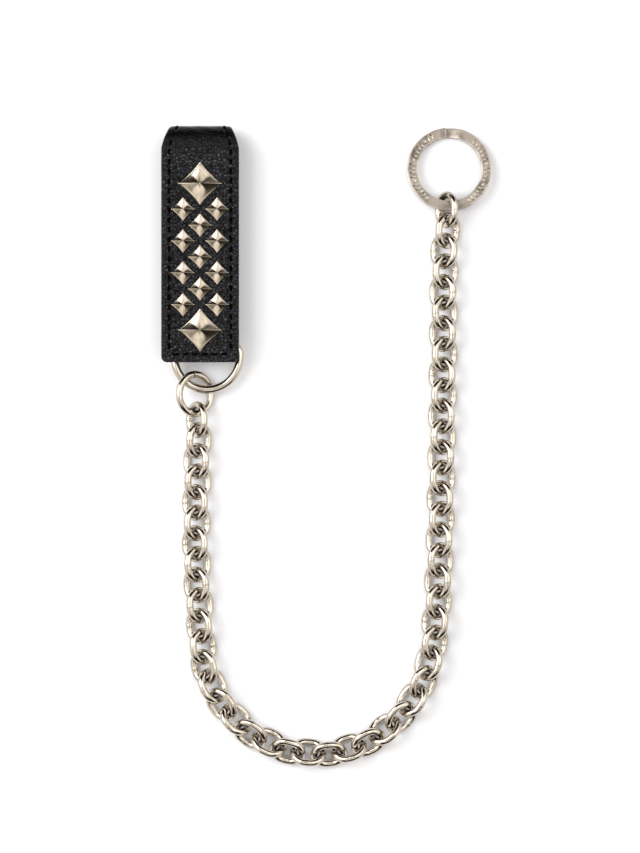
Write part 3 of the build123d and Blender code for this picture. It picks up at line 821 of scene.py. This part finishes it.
def key_ring(pivot):
    """Flat wire carried round twice: the upper turn from its free end, then the ramp down, then the lower
    turn. The section is a rectangle with eased edges, and the free end's upper edge is rounded off."""
    start, ramp_from, ramp_to, stop = RAMP[1], RAMP[0] + 360, RAMP[1] + 360, RAMP[0] + 720
    upper = np.linspace(start, ramp_from, 700)
    middle = np.linspace(ramp_from, ramp_to, 40)[1:-1]
    lower = np.linspace(ramp_to, stop, 200)
    degree = np.concatenate([[start - 0.001], upper, middle, lower])[:, None]
    step = RING_TURN + RING_GAP
    level = step / 2 - step * smooth(ramp_from, ramp_to, degree)
    half_band, half_turn, ease = RING_BAND / 2, RING_TURN / 2, RING_EASE
    corner = np.radians(np.linspace(0, 90, 5))
    box = []
    for sx, sz, order in ((1, 1, 1), (-1, 1, -1), (-1, -1, 1), (1, -1, -1)):
        for c in corner[::order]:
            out = half_band - ease + ease * np.cos(c)
            box.append((sx * out, sz * (half_turn - ease + ease * np.sin(c))))
        if sx * order == 1 and sz == 1:
            box += [(v, half_turn) for v in np.linspace(half_band - ease, ease - half_band, 24)[1:-1]]
    box = np.array(box)
    v, w = box[:, 0][None, :], box[:, 1][None, :]
    top = (w >= half_turn - 1e-6) & (degree < ramp_from)
    marked = sum(smooth(a, a + 6, degree) * smooth(b, b - 6, degree) for a, b in MARKED_ARCS)
    mark_and_glint = punched_marks(np.radians(degree) * RING_RADIUS, v) * top * marked
    radius = RING_RADIUS + v + 0.12 * (degree < start + 3)
    angle = np.radians(degree)
    lip = smooth(1.7, 0.0, degree - start)
    z = level + w - MARK_DEPTH * mark_and_glint - 0.25 * lip * (w > 0)
    # painted highlight: the free end's rounded lip gets the marks' bright colour
    mark_and_glint = np.maximum(mark_and_glint, lip * top)
    grid = np.stack([radius * np.cos(angle), radius * np.sin(angle), z], 2)
    grid = (grid + np.array([0, RING_RADIUS, 0])) @ turn("x", -RING_TILT).T + pivot
    return piece("split_key_ring", [grid], RING_STEEL, attributes={"mark_and_glint": [mark_and_glint]}, grain=(0.12, 0.2))


# ---------------------------------------------------------------- put together

strap = loop_strap()
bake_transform(strap)
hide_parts("front_flap", "flap_lining", "back_strap")

tab = keeper()
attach(tab, "belt_loop_back")

front_threads = piece("flap_threads", side_stitches(*FLAP_STITCHES, 0.0) + end_stitches(), THREAD_BLACK)
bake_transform(front_threads)
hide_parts("flap_stitching")

rows_behind = side_stitches(*BACK_STITCHES, BACK_SUNK) + tab_stitches()
back_threads = piece("back_threads", rows_behind, THREAD_BLACK)
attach(back_threads, "belt_loop_back")

stud_set = studs()
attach(stud_set, "belt_flap")
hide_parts("pyramid_studs")

snap_halves()

bow = d_ring()
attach(bow, "d_ring")
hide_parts("d_ring")

closed_ring = jump_ring()
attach(closed_ring, "jump_ring")
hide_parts("jump_ring")

chain()

ring_pivot = [j["pos_m"] for j in frame["joints"] if j["name"] == "key_ring_lift"][0]
split_ring = key_ring(np.array(ring_pivot) / MM)
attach(split_ring, "key_ring")
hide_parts("key_ring")


# ---------------------------------------------------------------- studio

# the middle of the object on the table, and half the table's side, in metres
MIDDLE = (0.03, -0.07, 0)
TABLE_HALF = 3.0


def softbox(name, place, size, power):
    """A white area light at a place in metres, turned to face the middle of the object."""
    light = bpy.data.lights.new(name, "AREA")
    light.shape = "RECTANGLE"
    light.size, light.size_y = size
    light.energy = power
    obj = bpy.data.objects.new(name, light)
    obj.location = place
    obj.rotation_euler = (Vector(MIDDLE) - Vector(place)).to_track_quat("-Z", "Y").to_euler()
    bpy.context.scene.collection.objects.link(obj)


def studio_floor():
    """A plain white table, with the faintest unevenness in its paint."""
    mesh = bpy.data.meshes.new("table")
    corners = [(x * TABLE_HALF, y * TABLE_HALF, 0) for x, y in ((-1, -1), (1, -1), (1, 1), (-1, 1))]
    mesh.from_pydata(corners, [], [(0, 1, 2, 3)])
    made, tree, body = material("white_table", Roughness=0.7, Specular_IOR_Level=0.2)
    place = node(tree, "ShaderNodeTexCoord").outputs["Object"]
    cloud = node(tree, "ShaderNodeTexNoise", {"Vector": place}, Scale=6.0)
    tone = ramp(tree, cloud.outputs["Fac"], [(0.3, "f5f7fb"), (0.7, "f7f9fd")])
    tree.links.new(tone.outputs["Color"], body.inputs["Base Color"])
    mesh.materials.append(made)
    obj = bpy.data.objects.new("table", mesh)
    bpy.context.scene.collection.objects.link(obj)


def studio_world():
    """A dark room with a bright ceiling over the table, greyer in its middle, and a pale wall at each side:
    to the left and a little below, and to the right and a little above."""
    world = bpy.data.worlds.new("studio")
    world.use_nodes = True
    tree = world.node_tree
    way = node(tree, "ShaderNodeTexCoord").outputs["Generated"]
    parts = node(tree, "ShaderNodeSeparateXYZ", {"Vector": way})
    dim = [(0.0, "0f0c0a"), (0.6, "1f1a16"), (0.72, "4a4540")]
    bright = [(0.86, "e9e6e2"), (0.94, "cfccc8"), (1.0, "bebbb7")]
    ceiling = ramp(tree, parts.outputs["Z"], dim + bright)
    aside = node(tree, "ShaderNodeVectorMath", {0: way}, operation="DOT_PRODUCT")
    aside.inputs[1].default_value = (0.995, 0.105, 0.0)
    either = node(tree, "ShaderNodeMath", {0: aside.outputs["Value"]}, operation="ABSOLUTE")
    reach = [(0.0, "000000"), (0.54, "14110f"), (0.68, "dfdad3"), (1.0, "fffdf9")]
    wall = ramp(tree, either.outputs[0], reach)
    skirting = ramp(tree, parts.outputs["Z"], [(0.1, "2a2622"), (0.26, "ffffff")])
    links = {"Color1": wall.outputs["Color"], "Color2": skirting.outputs["Color"]}
    sides = node(tree, "ShaderNodeMixRGB", links, Fac=1.0)
    sides.blend_type = "MULTIPLY"
    links = {"Color1": ceiling.outputs["Color"], "Color2": sides.outputs["Color"]}
    room = node(tree, "ShaderNodeMixRGB", links, Fac=1.0)
    room.blend_type = "LIGHTEN"
    tree.links.new(room.outputs["Color"], tree.nodes["Background"].inputs["Color"])
    tree.nodes["Background"].inputs["Strength"].default_value = 1.6
    bpy.context.scene.world = world
    bpy.context.scene.view_settings.view_transform = "Standard"


studio_floor()
studio_world()
softbox("key", (-0.85, 0.3, 1.0), (1.0, 1.1), 13.5)
softbox("panel", (0.75, 0.3, 1.35), (1.4, 1.4), 6.0)

lens = bpy.data.cameras.new("camera")
lens.sensor_width = 36.0
lens.lens = 173.6
lens.clip_end = 20.0
camera = bpy.data.objects.new("camera", lens)
camera.location = (0.0463, -0.0706, 1.6)
bpy.context.scene.collection.objects.link(camera)
bpy.context.scene.camera = camera
